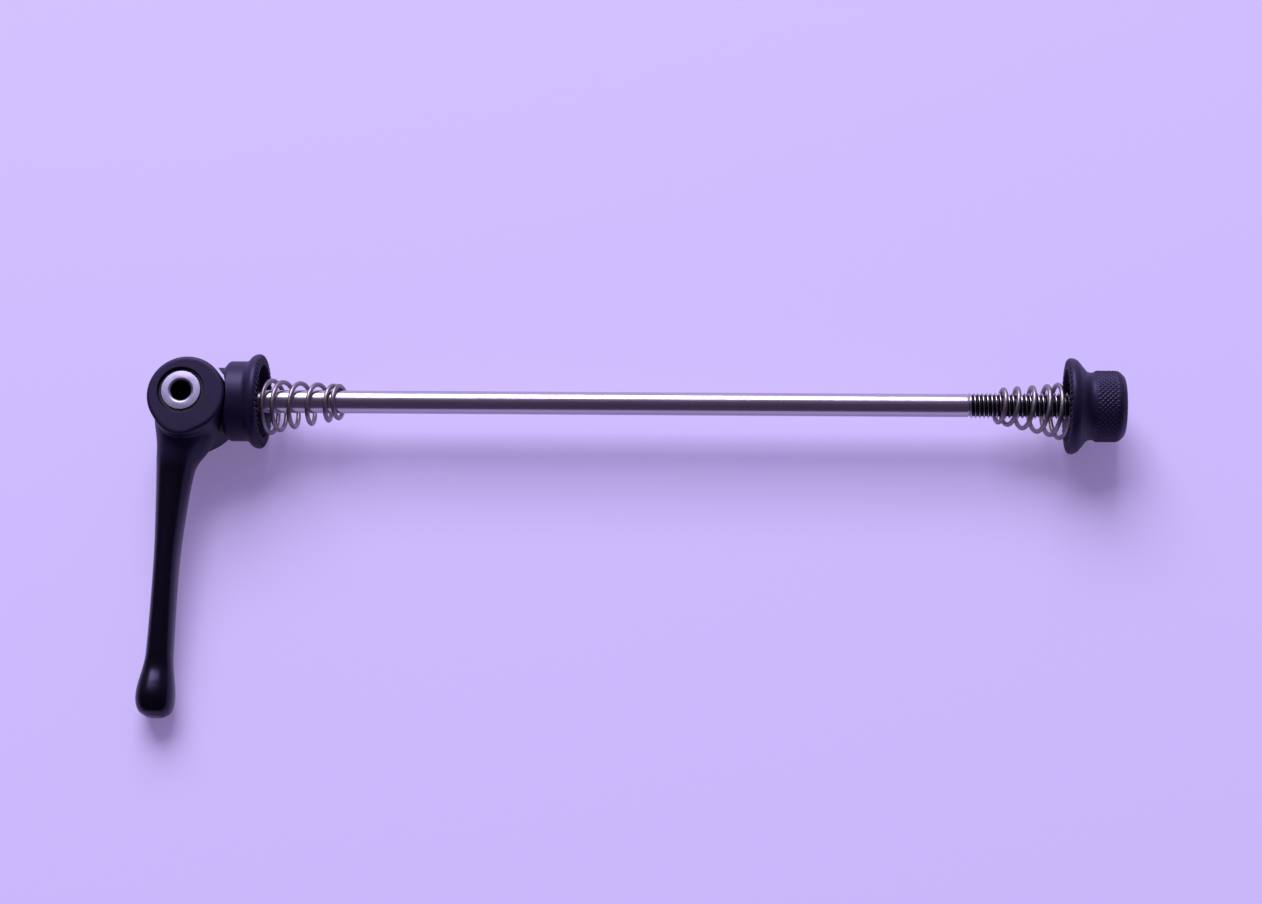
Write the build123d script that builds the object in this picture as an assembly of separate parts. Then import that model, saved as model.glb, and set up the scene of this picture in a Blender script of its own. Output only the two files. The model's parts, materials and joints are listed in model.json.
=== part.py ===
from build123d import *
from math import asin, copysign, cos, degrees, pi, radians, sin, sqrt
import os

# Quick release skewer for a bicycle hub, lying at rest with its lever closed.
# X runs along the rod from the lever to the nut and Z is up. The origin is on the rod's axis,
# midway between the two clamp faces. Sizes are in millimetres and degrees.
# Every piece is drawn with the lever's pivot upright, and the whole is then rolled about the rod
# until the lever's knob and both clamp flanges touch the table.

# Rod and its threads
grip_length = 153.0  # from one clamp face to the other
shank_d = 4.4
thread_d = 4.9  # over the crests
nut_thread_length = 27.5
thread_run_out = 0.6  # cone between the shank and the crests
thread_fit = 0.05  # clearance between a threaded rod and its nut, all round
rod_tip_inset = 1.5  # of the tip inside the nut's outer face
rod_tip_chamfer = 0.5

# Pivot barrel, a cross dowel that the rod screws into
barrel_d = 7.6
barrel_proud = 0.3  # past each ear of the lever
barrel_chamfer = 0.35
socket_af = 4.0  # hexagon socket for a key, across the flats
socket_depth = 3.6

# Lever: a forked head, an arm and a knob
head_d = 14.9
head_width = 16.0  # over both ears
head_edge_chamfer = 0.6
heel_d = 11.1  # rounded heel under the head, where the arm begins
heel_shift = 0.3  # of its middle from the pivot, along the rod
heel_drop = 3.0
cam_eccentricity = 1.2  # from the pivot to the middle of the head
cam_angle = 38.0  # of that offset, below the rod's direction
opening_angle = 150.0  # from closed to the stop
slot_side_gap = 0.3  # between the rod and each ear
slot_floor_gap = 0.65
pivot_fit = 0.05  # running clearance of the barrel in its bushes
bush_wall = 0.55
bush_inset = 0.45  # below the ear's outer face
lever_length = 61.4  # from the pivot to the tip
shoulder_drop = 9.0  # from the pivot to where the arm leaves the head
root_drop = 12.2  # to where the shoulder has narrowed into the arm
arm_shift = -2.2  # of the arm's middle from the pivot, away from the nut
arm_thickness = 4.3  # at the waist, along the rod
arm_depth = 7.5  # at the waist, along the pivot
shoulder_thickness = 9.0
shoulder_depth = 11.2
root_thickness = 6.8
knob_thickness = 7.25
knob_depth = 8.0
knob_length = 7.9  # from the narrow neck to the tip
arm_squareness = 4.0  # 2 makes the arm's section an ellipse, and more squares it up
arm_section_sides = 12

# Clamp faces, the same on the cap and on the nut
flange_d = 18.2
flange_thickness = 1.7
recess_d = 14.2  # pocket for the spring's wide end
recess_depth = 2.2
tooth_count = 48
tooth_depth = 0.4
tooth_groove_width = 0.72
tooth_land = 0.35  # plain ring between the recess and the teeth

# Clamp cap and the cam saddle in it
cap_body_d = 15.4
cap_lip_d = 13.1  # at the back, inside the chamfer
cap_back = 7.3  # from the clamp face to the back
cap_chamfer_length = 0.9
cap_flare_length = 1.7
cap_web = 1.8  # between the recess and the saddle
rod_bore_gap = 0.25  # around the threads that pass through
saddle_d = 12.9
saddle_web = 1.95  # at the bottom of the cam groove
saddle_horn_height = 9.0  # from the clamp face to the horn's tips
saddle_fit = 0.02
cam_gap = 0.25  # between the closed lever and the groove
groove_r = 9.2
groove_shift = -0.6  # of the groove's middle, towards the lever's arm

# Adjusting nut and its locking ring
nut_length = 10.95
nut_neck_d = 12.8
nut_neck_at = 4.5  # from the clamp face
nut_neck_width = 1.2
nut_grip_d = 13.6
nut_grip_at = 5.3
nut_end_chamfer = 1.3
ring_d = 8.6  # nylon ring in the nut's outer end
ring_length = 2.6
ring_inset = 0.5

# Conical springs, wound left-handed
wire_d = 0.75
spring_wide_d = 10.8  # across the middle of the wire
spring_thread_gap = 0.2  # between the narrow end and the threads
spring_seat_gap = 0.1
spring_turns = 6.5
spring_wide_pitch = 1.8  # of the turns next to the recess
spring_wide_turns = 1.6
spring_end_pitch = 0.84  # where the narrow end closes up on the rod
spring_end_turns = 0.8
spring_sag = 1.13  # of the wide end, which drops in its recess
spring_sag_angle = 222.0  # of that drop, seen along the rod from the nut
spring_tilt = 0.228  # slope of the turns, whose upper sides lean back towards the recess
spring_points_per_turn = 14
wire_sides = 6
lever_spring_pitch = 3.36
lever_spring_angle = 107.0  # where its wide end starts, seen along the rod from the nut
nut_spring_pitch = 2.81
nut_spring_angle = 280.0

# Places that follow from the sizes above
half_grip = grip_length / 2
head_r = head_d / 2
cam_x = cam_eccentricity * cos(radians(cam_angle))
cam_y = -cam_eccentricity * sin(radians(cam_angle))
groove_bottom = recess_depth + cap_web + saddle_web  # behind the clamp face
pivot_x = -half_grip - groove_bottom - cam_gap - head_r - cam_x
rod_bore_d = thread_d + 2 * rod_bore_gap
thread_bore_d = thread_d + 2 * thread_fit
slot_width = thread_d + 2 * slot_side_gap
slot_floor = thread_d / 2 + slot_floor_gap
bush_bore_d = barrel_d + 2 * pivot_fit
ear_bore_d = bush_bore_d + 2 * bush_wall
knob_drop = lever_length - knob_length / 2
roll_angle = degrees(asin((flange_d - knob_depth) / 2 / knob_drop))


def turned(points):
    # Solid of revolution about the rod, from (distance along it, radius) points
    return revolve(make_face(Polyline(*points, close=True)), Axis.X)


def along_rod(diameter, start, end):
    return Pos((start + end) / 2, 0, 0) * Rot(0, 90, 0) * Cylinder(diameter / 2, abs(end - start))


def rod():
    near_end = pivot_x - barrel_d / 2 + barrel_chamfer
    near_thread_end = pivot_x + barrel_d / 2 + thread_run_out
    far_end = half_grip + nut_length - rod_tip_inset
    far_thread_start = far_end - nut_thread_length
    shank_r = shank_d / 2
    crest_r = thread_d / 2
    points = [
        (near_end, 0),
        (near_end, crest_r - rod_tip_chamfer),
        (near_end + rod_tip_chamfer, crest_r),
        (near_thread_end, crest_r),
        (near_thread_end + thread_run_out, shank_r),
        (far_thread_start - thread_run_out, shank_r),
        (far_thread_start, crest_r),
        (far_end - rod_tip_chamfer, crest_r),
        (far_end, crest_r - rod_tip_chamfer),
        (far_end, 0),
    ]
    return turned(points)


def pivot_barrel():
    length = head_width + 2 * barrel_proud
    dowel = Cylinder(barrel_d / 2, length)
    dowel = chamfer(dowel.edges().filter_by(GeomType.CIRCLE), barrel_chamfer)
    top = Pos(0, 0, length / 2)
    corner_r = socket_af / sqrt(3)
    socket = extrude(top * RegularPolygon(corner_r, 6), -socket_depth)
    dowel = Pos(pivot_x, 0, 0) * (dowel - socket)
    return dowel - along_rod(thread_bore_d, pivot_x - barrel_d, pivot_x + barrel_d)


def arm_section(drop, shift, thickness, depth):
    # Rounded section across the arm, at a drop below the pivot, true to size across its flats
    power = 2 / arm_squareness
    flat = cos(pi / arm_section_sides) ** power
    corners = []
    for n in range(arm_section_sides):
        turn = 2 * pi * (n + 0.5) / arm_section_sides
        across = copysign(abs(cos(turn)) ** power, cos(turn)) / flat
        up = copysign(abs(sin(turn)) ** power, sin(turn)) / flat
        corners.append((across * thickness / 2, up * depth / 2))
    at = Plane(origin=(pivot_x + shift, -drop, 0), x_dir=(1, 0, 0), z_dir=(0, -1, 0))
    return at * make_face(Polyline(*corners, close=True))


def arm():
    # Stations down the arm: drop below the pivot, shift along the rod, thickness and depth
    neck_drop = lever_length - 1.5 * knob_length
    span = neck_drop - root_drop
    stations = [
        (0.5 * shoulder_drop, 0, 0.72 * head_d, 0.85 * head_width),
        (shoulder_drop, 0.16 * arm_shift, shoulder_thickness, shoulder_depth),
        (root_drop, 0.59 * arm_shift, root_thickness, 1.28 * arm_depth),
        (root_drop + 0.07 * span, 0.73 * arm_shift, 1.42 * arm_thickness, 1.17 * arm_depth),
        (root_drop + 0.22 * span, 0.85 * arm_shift, 1.23 * arm_thickness, 1.07 * arm_depth),
        (root_drop + 0.52 * span, arm_shift, arm_thickness, arm_depth),
        (neck_drop, 1.1 * arm_shift, 1.12 * arm_thickness, 0.97 * arm_depth),
        (lever_length - knob_length, 1.18 * arm_shift, 0.82 * knob_thickness, 0.96 * knob_depth),
        (knob_drop, 1.23 * arm_shift, knob_thickness, knob_depth),
        (lever_length - 0.2 * knob_length, 1.2 * arm_shift, 0.9 * knob_thickness, 0.88 * knob_depth),
        (lever_length, 1.14 * arm_shift, 0.5 * knob_thickness, 0.46 * knob_depth),
    ]
    return loft([arm_section(*station) for station in stations], ruled=True)


def lever():
    # The head's outline runs around the cam and its heel, without a hollow between them
    cam = Pos(cam_x, cam_y) * CenterArc((0, 0), head_r, 0, 360)
    heel = Pos(heel_shift, -heel_drop) * CenterArc((0, 0), heel_d / 2, 0, 360)
    outline = make_face(make_hull([cam, heel]))
    head = Pos(pivot_x, 0, -head_width / 2) * extrude(outline, head_width)
    rims = head.faces().filter_by(Axis.Z).edges()
    body = chamfer(rims, head_edge_chamfer) + arm()
    # The slot lets the rod swing from closed to the stop, and its floor stops it at both ends
    turn = radians(opening_angle)
    reach = head_d
    corner = (-slot_floor * (1 + cos(turn)) / sin(turn), -slot_floor)
    far = (corner[0] + reach * cos(turn), corner[1] + reach * sin(turn))
    slot_outline = Polyline(
        (reach, -slot_floor), corner, far, (far[0], reach), (reach, reach), close=True
    )
    slot = Pos(pivot_x, 0, -slot_width / 2) * extrude(make_face(slot_outline), slot_width)
    return body - slot - Pos(pivot_x, 0, 0) * Cylinder(ear_bore_d / 2, head_width)


def pivot_bush(side):
    inner = slot_width / 2
    outer = head_width / 2 - bush_inset
    ring = Cylinder(ear_bore_d / 2, outer - inner) - Cylinder(bush_bore_d / 2, outer - inner)
    return Pos(pivot_x, 0, side * (inner + outer) / 2) * ring


def cam_groove():
    middle = -half_grip - groove_bottom - groove_r
    return Pos(middle, groove_shift, 0) * Cylinder(groove_r, 2 * flange_d)


def toothed(body, clamp_x, facing):
    # V grooves cut outwards across a clamp face, leaving a plain ring around the recess
    inner = recess_d / 2 + tooth_land
    start = Plane(origin=(clamp_x, inner, 0), x_dir=(facing, 0, 0), z_dir=(0, 1, 0))
    mouth = tooth_groove_width / 2
    lift = 0.25 * tooth_depth
    spread = mouth * (1 + lift / tooth_depth)
    profile = start * make_face(Polyline((lift, -spread), (lift, spread), (-tooth_depth, 0), close=True))
    groove = extrude(profile, flange_d / 2)
    return body - [Rot(360 * n / tooth_count, 0, 0) * groove for n in range(tooth_count)]


def clamp_flange(clamp_x, facing):
    # The shared start of the cap's and the nut's outline, from the recess out over the flange
    recess_r = recess_d / 2
    flange_r = flange_d / 2
    steps = [(recess_depth, recess_r), (0, recess_r), (0, flange_r), (flange_thickness, flange_r)]
    return [(clamp_x - facing * back, radius) for back, radius in steps]


def clamp_cap():
    face_x = -half_grip
    body_r = cap_body_d / 2
    cup_r = saddle_d / 2 + saddle_fit
    cup_x = face_x - recess_depth - cap_web
    back_x = face_x - cap_back
    flare_x = face_x - flange_thickness - cap_flare_length
    points = clamp_flange(face_x, 1) + [
        (flare_x, body_r),
        (back_x + cap_chamfer_length, body_r),
        (back_x, max(cap_lip_d / 2, cup_r + 0.1)),
        (back_x, cup_r),
        (cup_x, cup_r),
        (cup_x, rod_bore_d / 2),
        (face_x - recess_depth, rod_bore_d / 2),
    ]
    return toothed(turned(points) - cam_groove(), face_x, 1)


def cam_saddle():
    seat_x = -half_grip - recess_depth - cap_web
    horn_x = -half_grip - saddle_horn_height
    saddle = along_rod(saddle_d, horn_x, seat_x) - along_rod(rod_bore_d, horn_x - 1, seat_x + 1)
    return saddle - cam_groove()


def adjusting_nut():
    face_x = half_grip
    end_x = face_x + nut_length
    seat_x = end_x - ring_inset - ring_length
    points = clamp_flange(face_x, -1) + [
        (face_x + nut_neck_at - nut_neck_width / 2, nut_neck_d / 2),
        (face_x + nut_neck_at + nut_neck_width / 2, nut_neck_d / 2),
        (face_x + nut_grip_at, nut_grip_d / 2),
        (end_x - nut_end_chamfer, nut_grip_d / 2),
        (end_x, nut_grip_d / 2 - nut_end_chamfer),
        (end_x, ring_d / 2),
        (seat_x, ring_d / 2),
        (seat_x, thread_bore_d / 2),
        (face_x + recess_depth, thread_bore_d / 2),
    ]
    return toothed(turned(points), face_x, -1)


def nut_lock_ring():
    outer_x = half_grip + nut_length - ring_inset
    inner_x = outer_x - ring_length
    return along_rod(ring_d, inner_x, outer_x) - along_rod(thread_bore_d, inner_x - 1, outer_x + 1)


def blend(start, end, value):
    share = min(max((value - start) / (end - start), 0), 1)
    return share * share * (3 - 2 * share)


def spring(seat_x, along, open_pitch, first_angle):
    # Wire wound from its wide end in the recess to its closed narrow end on the rod
    narrow_r = thread_d / 2 + spring_thread_gap + wire_d / 2
    wide_r = spring_wide_d / 2
    closing = spring_turns - spring_end_turns
    rises = [0]
    for step in range(round(spring_turns * spring_points_per_turn)):
        turn = (step + 0.5) / spring_points_per_turn
        opened = blend(spring_wide_turns, spring_wide_turns + 1, turn)
        closed = blend(closing - 1, closing, turn)
        pitch = spring_wide_pitch + (open_pitch - spring_wide_pitch) * opened
        pitch += (spring_end_pitch - pitch) * closed
        rises.append(rises[-1] + pitch / spring_points_per_turn)
    base = spring_seat_gap + wire_d / 2 + spring_tilt * wide_r
    sag_turn = radians(spring_sag_angle)
    points = []
    for step, rise in enumerate(rises):
        turn = step / spring_points_per_turn
        winding = radians(first_angle) - along * 2 * pi * turn
        radius = wide_r + (narrow_r - wide_r) * min(turn / (spring_turns - 1), 1)
        sag = spring_sag * (1 - rise / rises[-1])
        tilt = spring_tilt * radius * sin(winding)
        points.append(
            (
                seat_x + along * (base + rise - tilt),
                radius * cos(winding) + sag * cos(sag_turn),
                radius * sin(winding) + sag * sin(sag_turn),
            )
        )
    path = Polyline(*points)
    section = Plane(origin=path @ 0, z_dir=path % 0) * RegularPolygon(wire_d / 2, wire_sides)
    return sweep(section, path=path, transition=Transition.RIGHT)


pieces = {
    "rod": rod(),
    "pivot_barrel": pivot_barrel(),
    "lever": lever(),
    "upper_pivot_bush": pivot_bush(1),
    "lower_pivot_bush": pivot_bush(-1),
    "clamp_cap": clamp_cap(),
    "cam_saddle": cam_saddle(),
    "adjusting_nut": adjusting_nut(),
    "nut_lock_ring": nut_lock_ring(),
    "lever_side_spring": spring(-half_grip - recess_depth, 1, lever_spring_pitch, lever_spring_angle),
    "nut_side_spring": spring(half_grip + recess_depth, -1, nut_spring_pitch, nut_spring_angle),
}

os.makedirs("parts", exist_ok=True)
for name, piece in pieces.items():
    export_step(Rot(roll_angle, 0, 0) * piece, f"parts/{name}.step")
print(f"lever pivot {pivot_x:.3f} mm along the rod, whole skewer rolled {roll_angle:.3f} degrees")
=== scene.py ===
import json
import math

import bmesh
import bpy
from mathutils import Matrix, Quaternion, Vector


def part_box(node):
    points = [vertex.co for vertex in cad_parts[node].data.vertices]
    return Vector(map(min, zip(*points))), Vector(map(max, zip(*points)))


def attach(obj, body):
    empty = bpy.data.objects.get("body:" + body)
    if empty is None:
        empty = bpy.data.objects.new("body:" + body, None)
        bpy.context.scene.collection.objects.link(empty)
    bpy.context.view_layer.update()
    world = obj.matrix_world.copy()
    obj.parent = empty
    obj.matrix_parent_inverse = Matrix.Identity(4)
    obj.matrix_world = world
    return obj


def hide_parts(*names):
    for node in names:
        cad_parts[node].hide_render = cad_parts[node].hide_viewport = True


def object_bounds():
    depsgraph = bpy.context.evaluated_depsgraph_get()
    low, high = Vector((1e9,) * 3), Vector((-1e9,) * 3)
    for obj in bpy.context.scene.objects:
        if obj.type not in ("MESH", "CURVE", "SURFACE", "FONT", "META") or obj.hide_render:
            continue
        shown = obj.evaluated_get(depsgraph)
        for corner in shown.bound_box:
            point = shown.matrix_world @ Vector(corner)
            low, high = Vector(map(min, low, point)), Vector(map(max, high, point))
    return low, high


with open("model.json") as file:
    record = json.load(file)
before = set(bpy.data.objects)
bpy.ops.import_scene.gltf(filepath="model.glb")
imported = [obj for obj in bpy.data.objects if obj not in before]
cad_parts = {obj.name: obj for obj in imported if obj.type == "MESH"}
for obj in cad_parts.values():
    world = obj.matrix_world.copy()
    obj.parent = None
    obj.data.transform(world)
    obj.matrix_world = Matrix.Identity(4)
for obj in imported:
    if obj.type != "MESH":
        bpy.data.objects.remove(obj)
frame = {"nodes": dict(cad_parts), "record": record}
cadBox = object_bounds()
scene = bpy.context.scene
scene.view_settings.view_transform = "Standard"
print("frame loaded:", len(frame["nodes"]), "nodes")

# lengths below are in millimetres, and each finished mesh goes to metres once
mm = 0.001
joints = {joint["name"]: joint for joint in frame["record"]["behaviour"]["joints"]}
pivotX = joints["lever_pivot"]["pos_m"][0] / mm
pivotAxis = joints["lever_pivot"]["axis"]
roll = math.atan2(pivotAxis[1], -pivotAxis[2])      # how far the pivot leans from upright
leaning = Matrix.Rotation(roll, 4, "X")
fullTurn = 2 * math.pi


def boxOf(node):
    low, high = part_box(node)
    return low / mm, high / mm


capFace = boxOf("clamp_cap")[1].x
nutFace = boxOf("adjusting_nut")[0].x
flangeRadius = boxOf("clamp_cap")[1].z
rodLow, rodHigh = boxOf("rod")


def smoothStep(low, high, value):
    share = min(max((value - low) / (high - low), 0), 1)
    return share * share * (3 - 2 * share)


# finishes

class Value:                                         # a socket that takes part in sums
    def __init__(self, owner, socket):
        self.owner = owner
        self.socket = socket

    def combine(self, operation, first, second):
        return self.owner.node("Math", {"operation": operation}, {0: first, 1: second})

    def __add__(self, other):
        return self.combine("ADD", self, other)

    def __radd__(self, other):
        return self.combine("ADD", other, self)

    def __sub__(self, other):
        return self.combine("SUBTRACT", self, other)

    def __rsub__(self, other):
        return self.combine("SUBTRACT", other, self)

    def __mul__(self, other):
        return self.combine("MULTIPLY", self, other)

    def __rmul__(self, other):
        return self.combine("MULTIPLY", other, self)

    def __pow__(self, other):
        return self.combine("POWER", self, other)

    def __rpow__(self, other):
        return self.combine("POWER", other, self)


class NodeTree:
    def __init__(self, tree):
        self.tree = tree

    def feed(self, socket, value):
        if isinstance(value, Value):
            self.tree.links.new(value.socket, socket)
        else:
            socket.default_value = value

    def node(self, kind, settings, sockets, output=0):
        made = self.tree.nodes.new("ShaderNode" + kind)
        for key, value in settings.items():
            setattr(made, key, value)
        for key, value in sockets.items():
            self.feed(made.inputs[key], value)
        return Value(self, made.outputs[output])

    def axes(self, place):
        split = self.node("SeparateXYZ", {}, {0: place})
        return [Value(self, output) for output in split.socket.node.outputs]

    def blend(self, share, first, second):
        sockets = {0: share, 6: first, 7: second}
        return self.node("Mix", {"data_type": "RGBA"}, sockets, 2)

    def step(self, low, high, value):                # from 0 at low to 1 at high
        sockets = {"Value": value, "From Min": low, "From Max": high}
        return self.node("MapRange", {"interpolation_type": "SMOOTHSTEP"}, sockets)


class Finish(NodeTree):
    def __init__(self, name, constants):
        self.material = bpy.data.materials.new(name)
        self.material.use_nodes = True
        super().__init__(self.material.node_tree)
        self.shader = self.tree.nodes["Principled BSDF"]
        for socketName, value in constants.items():
            self.shader.inputs[socketName].default_value = value

    def surface(self, **sockets):
        for key, value in sockets.items():
            self.feed(self.shader.inputs[key.replace("_", " ")], value)

    def place(self, centre=(0, 0, 0), lean=0.0, stretch=(1, 1, 1)):
        coords = self.node("TexCoord", {}, {}, "Object")
        sockets = {"Vector": coords, "Location": Vector(centre) * mm, "Rotation": (lean, 0, 0)}
        sockets["Scale"] = Vector(stretch) * mm
        return self.node("Mapping", {"vector_type": "TEXTURE"}, sockets)

    def noise(self, place, scale, detail=3.0):
        return self.node("TexNoise", {}, {"Vector": place, "Scale": scale, "Detail": detail})

    def bump(self, height, depth):
        return self.node("Bump", {}, {"Height": height, "Distance": depth * mm, "Strength": 1.0})

    def shade(self, share, look):                    # between the dark and the pale of a look
        return self.blend(share, grey(look["dark"], look["tint"]), grey(look["pale"], look["tint"]))


def grey(level, tint):
    return tuple(level * part for part in tint) + (1,)


def blackAnodised():
    look = {
        "dark": 0.008, "pale": 0.012, "tint": (1.0, 0.8, 2.4), "grain": 6.0, "cloud": 0.35, "depth": 0.007,
        "armShade": 0.0015, "armShadeTint": (1.0, 0.9, 1.2), "armStart": -10.5, "armEnd": -15.0,
        "matt": 0.38, "polished": 0.17, "grainRoughness": 0.08, "cloudRoughness": 0.06,
    }
    finish = Finish("blackAnodised", {"Specular IOR Level": 0.4, "Specular Tint": (0.6, 0.5, 1.0, 1)})
    place = finish.place(lean=roll)
    across = finish.axes(place)[1]
    grain = finish.noise(place, look["grain"])
    cloud = finish.noise(place, look["cloud"])
    smoothShadedArm = finish.step(look["armStart"], look["armEnd"], across)      # the arm is smoother, and painted darker as shade
    # the arm's colour is darker than the head's: painted shade, not wear
    base = finish.blend(smoothShadedArm, finish.shade(cloud, look), grey(look["armShade"], look["armShadeTint"]))
    rough = look["matt"] + smoothShadedArm * (look["polished"] - look["matt"])
    rough = rough + grain * look["grainRoughness"] + cloud * look["cloudRoughness"]
    finish.surface(Base_Color=base, Roughness=rough)
    finish.surface(Normal=finish.bump(grain * (1 - smoothShadedArm), look["depth"]))
    return finish.material


def polishedSteel():
    look = {
        "dark": 0.46, "pale": 0.58, "tint": (1.0, 0.96, 1.02), "depth": 0.001,
        "streakStretch": (60, 1, 1), "streak": 4.0, "streakDetail": 4.0, "cloud": 0.25,
        "rootShade": 0.02, "rootShadeStart": 2.36, "rootShadeFull": 2.12, "threadStart": 58.0, "threadFade": 0.8,
        "smooth": 0.19, "streakRoughness": 0.06, "cloudRoughness": 0.05, "rootShadeRoughness": 0.15,
    }
    finish = Finish("polishedSteel", {"Metallic": 1.0})
    place = finish.place()
    along, across, up = finish.axes(place)
    streak = finish.noise(finish.place(stretch=look["streakStretch"]), look["streak"], look["streakDetail"])
    cloud = finish.noise(place, look["cloud"])
    radius = (across * across + up * up) ** 0.5
    threaded = finish.step(look["threadStart"], look["threadStart"] + look["threadFade"], along)
    shadedRoots = threaded * finish.step(look["rootShadeStart"], look["rootShadeFull"], radius)      # painted shade in the thread roots
    # the thread roots are painted near black as shade, and made a little rougher
    base = finish.blend(shadedRoots, finish.shade(streak, look), grey(look["rootShade"], look["tint"]))
    rough = look["smooth"] + streak * look["streakRoughness"] + cloud * look["cloudRoughness"]
    rough = rough + shadedRoots * look["rootShadeRoughness"]
    finish.surface(Base_Color=base, Roughness=rough, Normal=finish.bump(streak, look["depth"]))
    return finish.material


def turnedAlloy():
    look = {
        "dark": 0.37, "pale": 0.48, "tint": (0.92, 0.86, 1.2), "ringsPerMm": 4.0, "depth": 0.004,
        "wander": 1.4, "wanderPhase": 2.5, "smooth": 0.36, "wanderRoughness": 0.12, "grimeAndShadeRoughness": 0.2,
        "grimeAndShade": 0.012, "cleanUnshaded": 2.3, "grimyShaded": 1.95, "socketFloor": 4.0, "socketFade": 0.3,
    }
    finish = Finish("turnedAlloy", {"Metallic": 1.0})
    place = finish.place((pivotX, 0, 0), roll)
    across, along, up = finish.axes(place)
    radius = (across * across + along * along) ** 0.5
    wander = finish.noise(place, look["wander"])
    phase = radius * (fullTurn * look["ringsPerMm"]) + wander * look["wanderPhase"]
    marks = finish.node("Math", {"operation": "SINE"}, {0: phase}) * 0.5 + 0.5
    sunk = finish.step(look["socketFloor"] - look["socketFade"], look["socketFloor"], up)
    grimedAndShaded = sunk * finish.step(look["cleanUnshaded"], look["grimyShaded"], radius)   # grime and painted shade in the key socket
    # the key socket's colour is near black: grime, and painted shade where the recess is dark
    base = finish.blend(grimedAndShaded, finish.shade(marks, look), grey(look["grimeAndShade"], look["tint"]))
    rough = look["smooth"] + wander * look["wanderRoughness"] + grimedAndShaded * look["grimeAndShadeRoughness"]
    finish.surface(Base_Color=base, Roughness=rough, Normal=finish.bump(marks, look["depth"]))
    return finish.material


springWire = {
    "dark": 0.2, "pale": 0.36, "tint": (1.0, 0.89, 0.92), "grain": 1.6, "detail": 5.0, "depth": 0.003,
    "smooth": 0.34, "grainRoughness": 0.18, "constants": {"Metallic": 1.0},
}
blackPolymer = {
    "dark": 0.004, "pale": 0.008, "tint": (1.0, 0.93, 1.2), "grain": 5.0, "detail": 3.0, "depth": 0.008,
    "smooth": 0.42, "grainRoughness": 0.16, "constants": {"Specular IOR Level": 0.4},
}
milkyNylon = {
    "dark": 0.5, "pale": 0.62, "tint": (1.0, 0.98, 0.92), "grain": 2.0, "detail": 3.0, "depth": 0.006,
    "smooth": 0.36, "grainRoughness": 0.16,
    "constants": {"Subsurface Weight": 0.15, "Subsurface Radius": (0.001, 0.001, 0.0008)},
}


def grained(name, look):                             # one grain for the colour, gloss and relief
    finish = Finish(name, look["constants"])
    grain = finish.noise(finish.place(), look["grain"], look["detail"])
    rough = look["smooth"] + grain * look["grainRoughness"]
    finish.surface(Base_Color=finish.shade(grain, look), Roughness=rough)
    finish.surface(Normal=finish.bump(grain, look["depth"]))
    return finish.material


finishes = {
    "black_alloy": blackAnodised(),
    "rod_steel": polishedSteel(),
    "spring_steel": grained("springWire", springWire),
    "bright_alloy": turnedAlloy(),
    "black_polymer": grained("blackPolymer", blackPolymer),
    "nylon": grained("milkyNylon", milkyNylon),
}
print("finishes made:", len(finishes))


# shared ways of making a shape

# how near two vertices are one, and the faces across a rounded edge
meshSizes = {"weld": 1e-5, "cutWeld": 1e-4, "near": 1e-3, "segments": 4}


def rounded(bm, corners, rounding, affect="EDGES", segments=meshSizes["segments"]):
    bmesh.ops.bevel(bm, geom=corners, offset=rounding, offset_type="OFFSET", segments=segments, profile=0.5,
                    affect=affect, material=-1)


def turned(profile, steps):
    # profile rows give the place along X, the radius and the rounding of that corner
    bm = bmesh.new()
    corners = [bm.verts.new((x, radius, 0)) for x, radius, rounding in profile]
    bm.faces.new(corners)
    for rounding in sorted({row[2] for row in profile if row[2]}):
        picked = [corner for corner, row in zip(corners, profile) if row[2] == rounding]
        rounded(bm, picked, rounding, "VERTICES")
    bmesh.ops.delete(bm, geom=bm.faces[:], context="FACES_ONLY")
    bmesh.ops.spin(bm, geom=bm.verts[:] + bm.edges[:], cent=(0, 0, 0), axis=(1, 0, 0), angle=fullTurn,
                   steps=steps, use_merge=True)
    bmesh.ops.remove_doubles(bm, verts=bm.verts[:], dist=meshSizes["weld"])
    bmesh.ops.recalc_face_normals(bm, faces=bm.faces[:])
    return bm


def standUp(bm, side):                               # a turned shape's X becomes Z, or -Z for side -1
    bmesh.ops.rotate(bm, cent=(0, 0, 0), matrix=Matrix.Rotation(math.radians(-90 * side), 3, "Y"),
                     verts=bm.verts[:])


def upright(steps, lowRadius, highRadius, height, place):
    bm = bmesh.new()
    bmesh.ops.create_cone(bm, cap_ends=True, segments=steps, radius1=lowRadius, radius2=highRadius,
                          depth=height, matrix=place)
    return bm


def asObject(bm, name):
    mesh = bpy.data.meshes.new(name)
    bm.to_mesh(mesh)
    bm.free()
    made = bpy.data.objects.new(name, mesh)
    scene.collection.objects.link(made)
    return made


def worked(rough):
    graph = bpy.context.evaluated_depsgraph_get()
    mesh = bpy.data.meshes.new_from_object(rough.evaluated_get(graph))
    bm = bmesh.new()
    bm.from_mesh(mesh)
    bpy.data.meshes.remove(mesh)
    bpy.data.objects.remove(rough)
    return bm


def cutAway(bm, *cutters):
    stock = asObject(bm, "stock")
    tools = [asObject(cutter, "cutter") for cutter in cutters]
    for tool in tools:
        cut = stock.modifiers.new("cut", "BOOLEAN")
        cut.operation = "DIFFERENCE"
        cut.solver = "EXACT"
        cut.object = tool
    bm = worked(stock)
    for tool in tools:
        bpy.data.objects.remove(tool)
    bmesh.ops.remove_doubles(bm, verts=bm.verts[:], dist=meshSizes["cutWeld"])
    return bm


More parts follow.
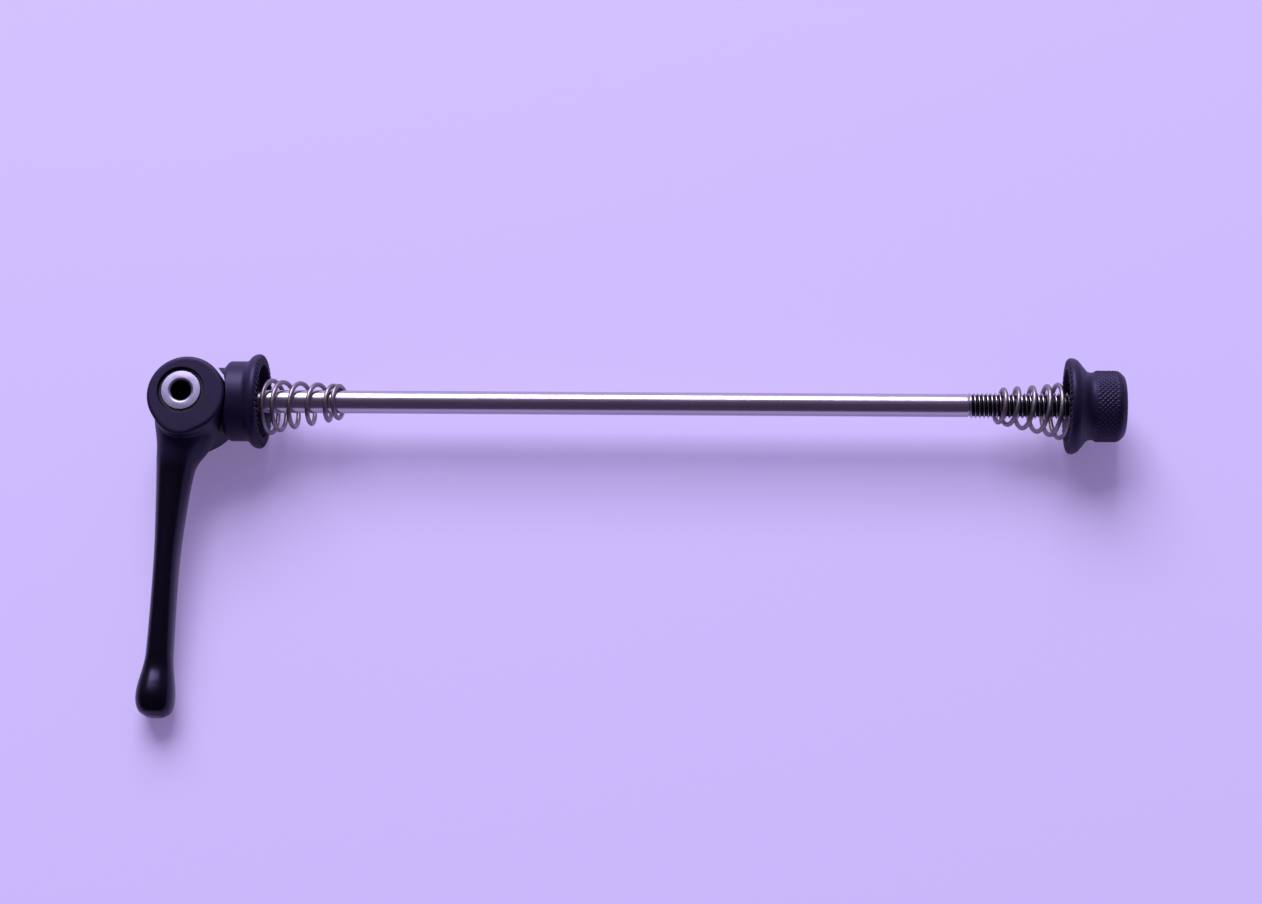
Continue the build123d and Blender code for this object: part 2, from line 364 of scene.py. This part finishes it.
def roundRims(bm, height, rounding):                 # the two end rims of an upright cylinder
    least = 2 * height - meshSizes["near"]
    rims = [edge for edge in bm.edges if abs(edge.verts[0].co.z + edge.verts[1].co.z) > least]
    rounded(bm, rims, rounding)


def ringFrom(made):
    verts = {item for item in made["geom"] if isinstance(item, bmesh.types.BMVert)}
    edges = [item for item in made["geom"] if isinstance(item, bmesh.types.BMEdge)]
    return verts, [edge for edge in edges if verts.issuperset(edge.verts)]


def addPiece(name, bm, body, slot, nodes, sharp=32):
    bmesh.ops.transform(bm, matrix=Matrix.Scale(mm, 4) @ leaning, verts=bm.verts[:])
    piece = asObject(bm, name)
    piece.data.materials.clear()
    piece.data.materials.append(finishes[slot])
    piece.data.shade_smooth()
    piece.data.set_sharp_from_angle(angle=math.radians(sharp))
    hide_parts(*nodes)
    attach(piece, body)
    print("made", name, len(piece.data.polygons), "faces")


# the skewer rod, with a rolled thread at the nut end

rodSizes = {
    "pitch": 0.8, "crest": rodHigh.z, "depth": 0.46, "crestFlat": 0.1, "rootFlat": 0.2, "shank": 2.2,
    "threadLength": 27.5, "runOut": 0.7, "tipChamfer": 0.5, "leverThread": 7.85, "stepsPerTurn": 48,
    "weld": 1e-3,
}


def threadedRod(sizes):
    bm = bmesh.new()
    pitch, crest, shank = sizes["pitch"], sizes["crest"], sizes["shank"]
    root = crest - sizes["depth"]
    start = rodHigh.x - sizes["threadLength"] - sizes["runOut"]
    flank = (pitch - sizes["crestFlat"] - sizes["rootFlat"]) / 2
    ridge = [(0, root), (sizes["rootFlat"], root), (sizes["rootFlat"] + flank, crest)]
    ridge += [(pitch - flank, crest), (pitch, root)]
    verts = [bm.verts.new((start - pitch + x, radius, 0)) for x, radius in ridge]
    edges = [bm.edges.new(pair) for pair in zip(verts, verts[1:])]
    turns = math.ceil((rodHigh.x - start) / pitch) + 1
    steps = turns * sizes["stepsPerTurn"]
    bmesh.ops.spin(bm, geom=verts + edges, cent=(0, 0, 0), axis=(1, 0, 0), angle=fullTurn * turns,
                   dvec=(pitch / sizes["stepsPerTurn"], 0, 0), steps=steps)
    bmesh.ops.remove_doubles(bm, verts=bm.verts[:], dist=sizes["weld"])
    for vert in bm.verts:                            # fade into the shank, and round off the tip
        radius = math.hypot(vert.co.y, vert.co.z)
        wanted = shank + (radius - shank) * smoothStep(start, start + sizes["runOut"], vert.co.x)
        wanted = min(wanted, crest - sizes["tipChamfer"] + rodHigh.x - vert.co.x)
        vert.co.y *= wanted / radius
        vert.co.z *= wanted / radius
    for x, side in ((start, -1), (rodHigh.x, 1)):
        everything = bm.verts[:] + bm.edges[:] + bm.faces[:]
        bmesh.ops.bisect_plane(bm, geom=everything, dist=meshSizes["weld"], plane_co=(x, 0, 0),
                               plane_no=(side, 0, 0), clear_outer=True)
    loose = [edge for edge in bm.edges if edge.is_boundary]
    bmesh.ops.edgeloop_fill(bm, edges=[edge for edge in loose if edge.verts[0].co.x > start + pitch])
    rim = [edge for edge in loose if edge.verts[0].co.x < start + pitch]
    leverThreadEnd = rodLow.x + sizes["leverThread"]
    chamfer = sizes["tipChamfer"]
    stations = [(leverThreadEnd + sizes["runOut"], shank), (leverThreadEnd, crest)]
    stations += [(rodLow.x + chamfer, crest), (rodLow.x, crest - chamfer)]
    for x, wanted in stations:
        verts, rim = ringFrom(bmesh.ops.extrude_edge_only(bm, edges=rim))
        for vert in verts:
            radius = math.hypot(vert.co.y, vert.co.z)
            vert.co = (x, vert.co.y * wanted / radius, vert.co.z * wanted / radius)
    bmesh.ops.edgeloop_fill(bm, edges=rim)
    bmesh.ops.recalc_face_normals(bm, faces=bm.faces[:])
    return bm


addPiece("skewerRod", threadedRod(rodSizes), "skewer", "rod_steel", ["rod"])


# the two clamp faces share their recess, rim and teeth

clampSizes = {
    "recessRadius": 7.1, "recessDepth": 2.2, "recessRounding": 0.3, "lipRounding": 0.03,
    "flange": 1.7, "rimRounding": 0.8, "backRounding": 0.8, "steps": 480,
    "teeth": 48, "toothDepth": 0.4, "toothWidth": 0.72, "toothStart": 7.15, "toothStep": 0.01,
}


def clampFace(sizes, boreRadius):
    recess = sizes["recessRadius"]
    return [
        (sizes["recessDepth"], boreRadius, 0),
        (sizes["recessDepth"], recess, sizes["recessRounding"]),
        (0, recess, sizes["lipRounding"]),
        (0, sizes["toothStart"] - sizes["toothStep"], 0),
        (0, sizes["toothStart"], 0),
        (0, flangeRadius, sizes["rimRounding"]),
        (sizes["flange"], flangeRadius, sizes["backRounding"]),
    ]


def cutTeeth(bm, sizes):                             # X counts backwards from the clamp face here
    inside = sizes["toothStart"] - sizes["toothStep"] / 2
    for vert in bm.verts:
        radius = math.hypot(vert.co.y, vert.co.z)
        if radius < inside or vert.co.x > sizes["toothDepth"]:
            continue
        turn = math.atan2(vert.co.z, vert.co.y) / fullTurn * sizes["teeth"]
        aside = abs(turn - round(turn)) * fullTurn * radius / sizes["teeth"]
        vert.co.x = max(vert.co.x, sizes["toothDepth"] * (1 - 2 * aside / sizes["toothWidth"]))


def faceOff(bm, face, along):                        # from that count to the part's own X
    for vert in bm.verts:
        vert.co.x = face + along * vert.co.x
    bmesh.ops.recalc_face_normals(bm, faces=bm.faces[:])


# the clamp cap, hollowed at the back for the cam, and the saddle inside it

capSizes = {
    "boreRadius": 2.7, "bodyRadius": 7.7, "flareEnd": 2.75, "flareRounding": 0.5,
    "chamferStart": 6.4, "shoulderRounding": 0.35, "back": 7.3, "backRadius": 6.6, "backEdge": 0.04,
    "cupRadius": 6.47, "cupFloor": 4.0, "floorMargin": 0.5,
}
grooveSizes = {"behindPivot": 0.554, "shift": -0.6, "radius": 9.2}


def clearTheCam(bm, keepX):                          # nothing behind the cam's groove
    middle = pivotX - grooveSizes["behindPivot"]
    for vert in bm.verts:
        inside = grooveSizes["radius"] ** 2 - (vert.co.y - grooveSizes["shift"]) ** 2
        groove = middle + math.sqrt(max(inside, 0))
        if vert.co.x < keepX:
            vert.co.x = max(vert.co.x, groove)


def toothedCap(sizes):
    profile = clampFace(clampSizes, sizes["boreRadius"]) + [
        (sizes["flareEnd"], sizes["bodyRadius"], sizes["flareRounding"]),
        (sizes["chamferStart"], sizes["bodyRadius"], sizes["shoulderRounding"]),
        (sizes["back"], sizes["backRadius"], sizes["backEdge"]),
        (sizes["back"], sizes["cupRadius"], 0),
        (sizes["cupFloor"], sizes["cupRadius"], 0),
        (sizes["cupFloor"], sizes["boreRadius"], 0),
    ]
    bm = turned(profile, clampSizes["steps"])
    cutTeeth(bm, clampSizes)
    faceOff(bm, capFace, -1)
    clearTheCam(bm, capFace - sizes["cupFloor"] - sizes["floorMargin"])
    return bm


addPiece("toothedCap", toothedCap(capSizes), "cap", "black_alloy", ["clamp_cap"])

saddleSizes = {"radius": 6.45, "hornBack": 9.0, "edge": 0.25, "rings": 12, "steps": 160}


def camSaddle(sizes):
    bore, radius, floor = capSizes["boreRadius"], sizes["radius"], capSizes["cupFloor"]
    rings = [bore + (radius - bore) * ring / sizes["rings"] for ring in range(sizes["rings"])]
    profile = [(floor, bore, 0), (floor, radius, 0), (sizes["hornBack"], radius, sizes["edge"])]
    profile += [(sizes["hornBack"], ring, 0) for ring in reversed(rings)]
    bm = turned(profile, sizes["steps"])
    faceOff(bm, capFace, -1)
    clearTheCam(bm, capFace - floor - capSizes["floorMargin"])
    return bm


addPiece("camSaddle", camSaddle(saddleSizes), "cap", "black_polymer", ["cam_saddle"])


# the adjusting nut with its diamond knurl, and the ring that holds its thread

nutSizes = {
    "boreRadius": 2.5, "neckRadius": 6.4, "neckStart": 3.9, "neckEnd": 4.9, "neckRounding": 0.55,
    "neckEdge": 0.05, "gripRadius": 6.8, "gripStart": 5.6, "gripEnd": 9.65, "gripEdge": 0.15,
    "gripRounding": 0.7, "end": 10.95, "endRadius": 5.5, "endRounding": 0.5, "ringEdge": 0.15,
    "knurlStarts": 48, "knurlDepth": 0.17, "knurlPitch": 0.95, "fine": 0.08, "longEdge": 2.5,
    "ringRadius": 4.3, "ringFloor": 7.85, "ringBack": 10.45,
    "floorRounding": 0.1, "backRounding": 0.25, "mouthRounding": 0.3, "ringSteps": 96,
}


def knurledNut(sizes):
    profile = clampFace(clampSizes, sizes["boreRadius"]) + [
        (sizes["neckStart"], sizes["neckRadius"], sizes["neckRounding"]),
        (sizes["neckEnd"], sizes["neckRadius"], sizes["neckEdge"]),
        (sizes["gripStart"], sizes["gripRadius"], sizes["gripEdge"]),
        (sizes["gripEnd"], sizes["gripRadius"], sizes["gripRounding"]),
        (sizes["end"], sizes["endRadius"], sizes["endRounding"]),
        (sizes["end"], sizes["ringRadius"], sizes["ringEdge"]),
        (sizes["ringFloor"], sizes["ringRadius"], 0),
        (sizes["ringFloor"], sizes["boreRadius"], 0),
    ]
    bm = turned(profile, clampSizes["steps"])
    grip = [edge for edge in bm.edges if edge.verts[0].co.yz.length > sizes["neckRadius"]
            and abs(edge.verts[0].co.x - edge.verts[1].co.x) > sizes["longEdge"]]
    cuts = int((sizes["gripEnd"] - sizes["gripStart"]) / sizes["fine"])
    bmesh.ops.subdivide_edges(bm, edges=grip, cuts=cuts, use_grid_fill=True)
    cutTeeth(bm, clampSizes)
    for vert in bm.verts:
        radius = vert.co.yz.length
        if radius < sizes["gripRadius"] - sizes["knurlDepth"] or vert.co.x < sizes["neckEnd"]:
            continue
        turn = math.atan2(vert.co.z, vert.co.y) / fullTurn * sizes["knurlStarts"]
        along = vert.co.x / sizes["knurlPitch"]
        slopes = [abs(lead - round(lead)) * 2 for lead in (turn + along, turn - along)]
        wanted = min(radius, sizes["gripRadius"] - sizes["knurlDepth"] * (1 - min(slopes)))
        vert.co.yz = vert.co.yz * (wanted / radius)
    faceOff(bm, nutFace, 1)
    return bm


addPiece("knurledNut", knurledNut(nutSizes), "nut", "black_alloy", ["adjusting_nut"])


def lockRing(sizes):
    profile = [
        (sizes["ringFloor"], sizes["boreRadius"], sizes["floorRounding"]),
        (sizes["ringFloor"], sizes["ringRadius"], sizes["floorRounding"]),
        (sizes["ringBack"], sizes["ringRadius"], sizes["backRounding"]),
        (sizes["ringBack"], sizes["boreRadius"], sizes["mouthRounding"]),
    ]
    bm = turned(profile, sizes["ringSteps"])
    faceOff(bm, nutFace, 1)
    return bm


addPiece("nutLockRing", lockRing(nutSizes), "nut", "nylon", ["nut_lock_ring"])


# the two conical springs, wound left-handed and sagging a little at their wide ends

springSizes = {
    "wire": 0.9, "wideRadius": 5.4, "threadGap": 0.62, "seatGap": 0.1, "turns": 6.5, "narrowTurns": 1,
    "widePitch": 1.8, "wideTurns": 1.6, "endPitch": 0.84, "endTurns": 0.8, "fadeTurns": 1,
    "sag": 1.13, "sagAngle": 222.0, "tilt": 0.228,
    "stepsPerTurn": 40, "wireSides": 12, "endRounding": 0.12, "endSegments": 2,
}
# what sets the two apart, with the steps trimmed off each end of the wire
leverSpringSizes = {
    **springSizes, "along": 1, "openPitch": 3.36, "firstAngle": 107, "wideTrim": 18, "narrowTrim": 0,
}
nutSpringSizes = {
    **springSizes, "along": -1, "openPitch": 2.81, "firstAngle": 280, "wideTrim": 20, "narrowTrim": 22,
}


def springPath(sizes, seatX):
    along, perTurn, turns = sizes["along"], sizes["stepsPerTurn"], sizes["turns"]
    opening, closing, fade = sizes["wideTurns"], turns - sizes["endTurns"], sizes["fadeTurns"]
    rises = [0.0]
    for step in range(round(turns * perTurn)):
        turn = (step + 0.5) / perTurn
        opened = smoothStep(opening, opening + fade, turn)
        pitch = sizes["widePitch"] + (sizes["openPitch"] - sizes["widePitch"]) * opened
        pitch += (sizes["endPitch"] - pitch) * smoothStep(closing - fade, closing, turn)
        rises.append(rises[-1] + pitch / perTurn)
    wide, narrow = sizes["wideRadius"], rodSizes["crest"] + sizes["threadGap"]
    base = sizes["seatGap"] + sizes["wire"] / 2 + sizes["tilt"] * wide
    firstTurn, sagTurn = math.radians(sizes["firstAngle"]), math.radians(sizes["sagAngle"])
    path = []
    for step, rise in enumerate(rises):
        turn = step / perTurn
        winding = firstTurn - along * fullTurn * turn
        radius = wide + (narrow - wide) * min(turn / (turns - sizes["narrowTurns"]), 1)
        sag = sizes["sag"] * (1 - rise / rises[-1])
        x = seatX + along * (base + rise - sizes["tilt"] * radius * math.sin(winding))
        y = radius * math.cos(winding) + sag * math.cos(sagTurn)
        z = radius * math.sin(winding) + sag * math.sin(sagTurn)
        path.append(Vector((x, y, z)))
    return path[sizes["wideTrim"]:len(path) - sizes["narrowTrim"]]


def woundWire(sizes, path):
    bm = bmesh.new()
    heading = (path[1] - path[0]).normalized()
    place = Matrix.Translation(path[0]) @ heading.to_track_quat("Z", "Y").to_matrix().to_4x4()
    bmesh.ops.create_circle(bm, segments=sizes["wireSides"], radius=sizes["wire"] / 2, matrix=place)
    rim = bm.edges[:]
    bmesh.ops.edgeloop_fill(bm, edges=rim)
    for here, there, after in zip(path, path[1:], path[2:] + path[-1:]):
        verts, rim = ringFrom(bmesh.ops.extrude_edge_only(bm, edges=rim))
        nextHeading = (after - here).normalized()
        swing = heading.rotation_difference(nextHeading).to_matrix().to_4x4()
        step = Matrix.Translation(there) @ swing @ Matrix.Translation(-here)
        bmesh.ops.transform(bm, matrix=step, verts=list(verts))
        heading = nextHeading
    bmesh.ops.edgeloop_fill(bm, edges=rim)
    ends = [edge for edge in bm.edges if any(len(face.verts) > 4 for face in edge.link_faces)]
    rounded(bm, ends, sizes["endRounding"], segments=sizes["endSegments"])
    bmesh.ops.recalc_face_normals(bm, faces=bm.faces[:])
    return bm


recessDepth = clampSizes["recessDepth"]
leverSpring = woundWire(springSizes, springPath(leverSpringSizes, capFace - recessDepth))
nutSpring = woundWire(springSizes, springPath(nutSpringSizes, nutFace + recessDepth))
addPiece("leverSideSpring", leverSpring, "cap", "spring_steel", ["lever_side_spring"])
addPiece("nutSideSpring", nutSpring, "nut_spring", "spring_steel", ["nut_side_spring"])


# the forked cam lever

leverSizes = {
    "headRadius": 7.45, "headWidth": 16.0, "headEdge": 0.5, "camX": 0.9456, "camY": -0.7388,
    "heelRadius": 5.55, "heelX": 0.3, "heelY": -3.2, "headSteps": 160, "flatAngle": 0.01,
    "length": 61.4, "shoulderDrop": 9.0, "rootDrop": 12.2, "shift": -2.2, "thickness": 4.3, "depth": 7.5,
    "shoulderThickness": 9.85, "shoulderDepth": 11.2, "rootThickness": 7.6,
    "knobThickness": 7.25, "knobDepth": 7.98, "knobLength": 7.9, "neckShare": 1.5,
    "squareness": 2.4, "sides": 48, "rings": 80, "voxel": 0.2, "smoothing": 6, "smoothFactor": 0.5,
    "slotHalf": 2.75, "slotFloor": -3.1, "slotCorner": -0.831, "slotBackX": -13.73, "slotBackY": 4.35,
    "reach": 14.9, "earBore": 4.4, "boreChamfer": 0.15, "boreOver": 1, "boreSteps": 128,
}


def armStations(sizes):
    # drop below the pivot, sideways shift, thickness along the rod and depth across it
    shift, thickness, depth = sizes["shift"], sizes["thickness"], sizes["depth"]
    knobThickness, knobDepth, knobLength = sizes["knobThickness"], sizes["knobDepth"], sizes["knobLength"]
    length, shoulder, root = sizes["length"], sizes["shoulderDrop"], sizes["rootDrop"]
    neck = length - sizes["neckShare"] * knobLength
    run = neck - root
    return [
        (0.5 * shoulder, 0.1 * shift, 1.58 * sizes["headRadius"], 0.85 * sizes["headWidth"]),
        (shoulder, 0.22 * shift, sizes["shoulderThickness"], sizes["shoulderDepth"]),
        (root, 0.68 * shift, sizes["rootThickness"], 1.28 * depth),
        (root + 0.07 * run, 0.81 * shift, 1.58 * thickness, 1.17 * depth),
        (root + 0.22 * run, 0.91 * shift, 1.36 * thickness, 1.07 * depth),
        (root + 0.52 * run, 1.02 * shift, 1.09 * thickness, 0.97 * depth),
        (neck, 1.09 * shift, 1.17 * thickness, 0.84 * depth),
        (length - 1.15 * knobLength, 1.14 * shift, 0.79 * knobThickness, 0.77 * knobDepth),
        (length - 0.75 * knobLength, 1.2 * shift, 0.95 * knobThickness, 0.93 * knobDepth),
        (length - 0.45 * knobLength, 1.22 * shift, knobThickness, knobDepth),
        (length - 0.22 * knobLength, 1.2 * shift, 0.92 * knobThickness, 0.9 * knobDepth),
        (length - 0.07 * knobLength, 1.17 * shift, 0.72 * knobThickness, 0.7 * knobDepth),
        (length, 1.15 * shift, 0.42 * knobThickness, 0.4 * knobDepth),
    ]


def alongStations(stations, drop):
    # an even curve through the stations
    last = len(stations) - 2
    index = next((i for i in range(last + 1) if drop <= stations[i + 1][0]), last)
    before, after = stations[index], stations[index + 1]
    previous = stations[max(index - 1, 0)]
    following = stations[min(index + 2, last + 1)]
    width = after[0] - before[0]
    share = (drop - before[0]) / width
    values = []
    for here, there, prior, later in list(zip(before, after, previous, following))[1:]:
        leaving = (there - prior) / (after[0] - previous[0]) * width
        arriving = (later - here) / (following[0] - before[0]) * width
        cube, square = share ** 3, share ** 2
        values.append((2 * cube - 3 * square + 1) * here + (cube - 2 * square + share) * leaving
                      + (3 * square - 2 * cube) * there + (cube - square) * arriving)
    return values


def armBlank(sizes):
    bm = bmesh.new()
    across = Matrix.Rotation(math.radians(90), 4, "X")
    bmesh.ops.create_circle(bm, segments=sizes["sides"], radius=1, matrix=across)
    power = 2 / sizes["squareness"]
    for vert in bm.verts:
        vert.co.x = math.copysign(abs(vert.co.x) ** power, vert.co.x)
        vert.co.z = math.copysign(abs(vert.co.z) ** power, vert.co.z)
    verts, rim = bm.verts[:], bm.edges[:]
    bmesh.ops.edgeloop_fill(bm, edges=rim)
    stations = armStations(sizes)
    first, last = stations[0][0], stations[-1][0]
    here = Matrix.Identity(4)
    for ring in range(sizes["rings"] + 1):
        drop = first + (last - first) * ring / sizes["rings"]
        shift, thickness, depth = alongStations(stations, drop)
        there = Matrix.LocRotScale(Vector((shift, -drop, 0)), None, Vector((thickness / 2, 1, depth / 2)))
        if ring:
            verts, rim = ringFrom(bmesh.ops.extrude_edge_only(bm, edges=rim))
        bmesh.ops.transform(bm, matrix=there @ here.inverted(), verts=list(verts))
        here = there
    bmesh.ops.edgeloop_fill(bm, edges=rim)
    bmesh.ops.recalc_face_normals(bm, faces=bm.faces[:])
    return bm


def headBlank(sizes):                                # the cam and its heel, with straight sides between them
    bm = bmesh.new()
    top = sizes["headWidth"] / 2
    cam = Vector((sizes["camX"], sizes["camY"], 0)), sizes["headRadius"]
    heel = Vector((sizes["heelX"], sizes["heelY"], 0)), sizes["heelRadius"]
    for centre, radius in (cam, heel):
        for height in (-top, top):
            place = Matrix.Translation(centre + Vector((0, 0, height)))
            bmesh.ops.create_circle(bm, segments=sizes["headSteps"], radius=radius, matrix=place)
    hull = bmesh.ops.convex_hull(bm, input=bm.verts[:])
    inner = {item for item in hull["geom_interior"] if isinstance(item, bmesh.types.BMVert)}
    bmesh.ops.delete(bm, geom=list(inner), context="VERTS")
    bmesh.ops.dissolve_limit(bm, angle_limit=sizes["flatAngle"], verts=bm.verts[:], edges=bm.edges[:])
    roundRims(bm, top, sizes["headEdge"])
    bmesh.ops.recalc_face_normals(bm, faces=bm.faces[:])
    return bm


def slotCutter(sizes):
    bm = bmesh.new()
    reach, floorY, backX = sizes["reach"], sizes["slotFloor"], sizes["slotBackX"]
    corners = [(reach, floorY), (sizes["slotCorner"], floorY), (backX, sizes["slotBackY"])]
    corners += [(backX, reach), (reach, reach)]
    floor = bm.faces.new([bm.verts.new((x, y, -sizes["slotHalf"])) for x, y in corners])
    made = bmesh.ops.extrude_face_region(bm, geom=[floor])["geom"]
    lifted = [item for item in made if isinstance(item, bmesh.types.BMVert)]
    bmesh.ops.translate(bm, vec=(0, 0, 2 * sizes["slotHalf"]), verts=lifted)
    bmesh.ops.recalc_face_normals(bm, faces=bm.faces[:])
    return bm


def boreCutter(sizes):
    bore, chamfer, over = sizes["earBore"], sizes["boreChamfer"], sizes["boreOver"]
    face = sizes["headWidth"] / 2
    flare = bore + chamfer + over
    profile = [(-face - over, 0, 0), (-face - over, flare, 0), (-face + chamfer, bore, 0)]
    profile += [(face - chamfer, bore, 0), (face + over, flare, 0), (face + over, 0, 0)]
    bm = turned(profile, sizes["boreSteps"])
    standUp(bm, -1)
    return bm


def camLever(sizes):
    blank = asObject(armBlank(sizes), "armBlank")
    head = asObject(headBlank(sizes), "headBlank")
    weld = blank.modifiers.new("weld", "BOOLEAN")
    weld.operation = "UNION"
    weld.solver = "EXACT"
    weld.object = head
    skin = blank.modifiers.new("skin", "REMESH")
    skin.mode = "VOXEL"
    skin.voxel_size = sizes["voxel"]
    bm = worked(blank)
    bpy.data.objects.remove(head)
    for turn in range(sizes["smoothing"]):
        bmesh.ops.smooth_vert(bm, verts=bm.verts[:], factor=sizes["smoothFactor"],
                              use_axis_x=True, use_axis_y=True, use_axis_z=True)
    bm = cutAway(bm, slotCutter(sizes), boreCutter(sizes))
    bmesh.ops.translate(bm, vec=(pivotX, 0, 0), verts=bm.verts[:])
    return bm


addPiece("camLever", camLever(leverSizes), "lever", "black_alloy", ["lever"])


# bushes in the two ears, and the pivot barrel that the rod screws into

bushSizes = {"inner": 3.85, "outer": 4.38, "start": 2.78, "end": 7.4, "edge": 0.12, "steps": 128}


def pivotBush(sizes, side):
    profile = [
        (sizes["start"], sizes["inner"], sizes["edge"]),
        (sizes["start"], sizes["outer"], sizes["edge"]),
        (sizes["end"], sizes["outer"], sizes["edge"]),
        (sizes["end"], sizes["inner"], sizes["edge"]),
    ]
    bm = turned(profile, sizes["steps"])
    standUp(bm, side)
    bmesh.ops.translate(bm, vec=(pivotX, 0, 0), verts=bm.verts[:])
    return bm


addPiece("upperPivotBush", pivotBush(bushSizes, 1), "lever", "black_polymer", ["upper_pivot_bush"])
addPiece("lowerPivotBush", pivotBush(bushSizes, -1), "lever", "black_polymer", ["lower_pivot_bush"])

barrelSizes = {
    "radius": 3.8, "length": 15.4, "edge": 0.12, "steps": 128, "sharpAngle": 24, "rodHoleSteps": 64,
    "socket": 3.8, "socketDepth": 3.6, "socketTurn": 21, "socketRounding": 0.5,
    "sinkRadius": 2.45, "sinkSlope": 0.6, "sinkDepth": 0.3, "sinkSteps": 96,
}


def pivotBarrel(sizes):
    radius, crest, top = sizes["radius"], rodSizes["crest"], sizes["length"] / 2
    atTop = Matrix.Translation((0, 0, top))
    bm = upright(sizes["steps"], radius, radius, sizes["length"], Matrix())
    roundRims(bm, top, sizes["edge"])
    corner = sizes["socket"] / 2 / math.cos(math.radians(30))      # the socket is measured across its flats
    socket = upright(6, corner, corner, 2 * sizes["socketDepth"], atTop)
    turn = Matrix.Rotation(math.radians(sizes["socketTurn"]), 3, "Z")
    bmesh.ops.rotate(socket, cent=(0, 0, 0), matrix=turn, verts=socket.verts[:])
    standing = [edge for edge in socket.edges
                if (edge.verts[0].co - edge.verts[1].co).xy.length < meshSizes["near"]]
    rounded(socket, standing, sizes["socketRounding"])
    inner, outer = sizes["sinkRadius"] - sizes["sinkSlope"], sizes["sinkRadius"] + sizes["sinkSlope"]
    sink = upright(sizes["sinkSteps"], inner, outer, 2 * sizes["sinkDepth"], atTop)
    alongRod = Matrix.Rotation(math.radians(90), 4, "Y")
    rodHole = upright(sizes["rodHoleSteps"], crest, crest, 4 * radius, alongRod)
    bm = cutAway(bm, socket, sink, rodHole)
    bmesh.ops.translate(bm, vec=(pivotX, 0, 0), verts=bm.verts[:])
    return bm


addPiece("pivotBarrel", pivotBarrel(barrelSizes), "skewer", "bright_alloy", ["pivot_barrel"],
         barrelSizes["sharpAngle"])


# floor, light and camera

floorSizes = {
    "colour": (0.68, 0.63, 0.95, 1), "roughness": 0.7, "half": 3.0,
    "shine": 0.3, "shineColour": (0.62, 0.47, 1.0, 1), "shineStrength": 1.0,
}


def paleFloor(sizes):
    bm = bmesh.new()
    place = Matrix.Translation((0, 0, cadBox[0].z))
    bmesh.ops.create_grid(bm, x_segments=1, y_segments=1, size=sizes["half"], matrix=place)
    floor = asObject(bm, "floor")
    finish = Finish("paleFloor", {"Base Color": sizes["colour"], "Roughness": sizes["roughness"]})
    rays = finish.node("LightPath", {}, {}).socket.node.outputs
    kinds = ("Camera", "Glossy", "Transmission")     # what the eye, metal and glass see of the floor
    camera, glossy, through = [Value(finish, rays[f"Is {kind} Ray"]) for kind in kinds]
    seen = camera + glossy + through
    shine = finish.node("Emission", {}, {"Color": sizes["shineColour"], "Strength": sizes["shineStrength"]})
    lit = Value(finish, finish.shader.outputs[0])
    paler = finish.node("MixShader", {}, {0: seen * sizes["shine"], 1: lit, 2: shine})
    finish.feed(finish.tree.nodes["Material Output"].inputs["Surface"], paler)
    floor.data.materials.append(finish.material)


lampSizes = {
    "azimuth": -14.0, "elevation": 42.0, "distance": 2.8, "width": 2.0, "height": 1.84, "power": 104.0,
    "colour": (0.9, 0.84, 1.0),
}


def softLamp(sizes):
    data = bpy.data.lights.new("softLamp", "AREA")
    data.shape = "RECTANGLE"
    data.size = sizes["width"]
    data.size_y = sizes["height"]
    data.energy = sizes["power"]
    data.color = sizes["colour"]
    azimuth, elevation = math.radians(sizes["azimuth"]), math.radians(sizes["elevation"])
    flat = math.cos(elevation)
    towards = Vector((math.sin(azimuth) * flat, math.cos(azimuth) * flat, math.sin(elevation)))
    lamp = bpy.data.objects.new("softLamp", data)
    lamp.location = towards * sizes["distance"]
    lamp.rotation_euler = (-towards).to_track_quat("-Z", "Y").to_euler()
    scene.collection.objects.link(lamp)


roomSizes = {"dim": 0.09, "glow": 0.8, "falloff": 4.0, "tint": (0.78, 0.57, 1.2, 1)}


def dimRoom(sizes):                                  # brightest behind the rod, dark in front of it
    world = bpy.data.worlds.new("dimRoom")
    world.use_nodes = True
    scene.world = world
    room = NodeTree(world.node_tree)
    direction = room.node("TexCoord", {}, {}, "Generated")
    behind = room.axes(direction)[1] * 0.5 + 0.5
    level = behind ** sizes["falloff"] * sizes["glow"] + sizes["dim"]
    colour = room.blend(level, (0, 0, 0, 1), sizes["tint"])
    room.feed(world.node_tree.nodes["Background"].inputs["Color"], colour)


cameraSizes = {
    "place": (22.2476, -180.8905, 471.2358), "target": (-5.6353, -9.8103, 0.0), "roll": -8.299,
    "lens": 75.594, "sensor": 36.0, "clipStart": 0.01,
}


def photoCamera(sizes):
    data = bpy.data.cameras.new("photoCamera")
    data.lens = sizes["lens"]
    data.sensor_width = sizes["sensor"]
    data.clip_start = sizes["clipStart"]
    place, target = Vector(sizes["place"]) * mm, Vector(sizes["target"]) * mm
    turn = (target - place).to_track_quat("-Z", "Y") @ Quaternion((0, 0, 1), math.radians(sizes["roll"]))
    camera = bpy.data.objects.new("photoCamera", data)
    camera.location = place
    camera.rotation_euler = turn.to_euler()
    scene.collection.objects.link(camera)
    scene.camera = camera


paleFloor(floorSizes)
softLamp(lampSizes)
dimRoom(roomSizes)
photoCamera(cameraSizes)
print("stage set")
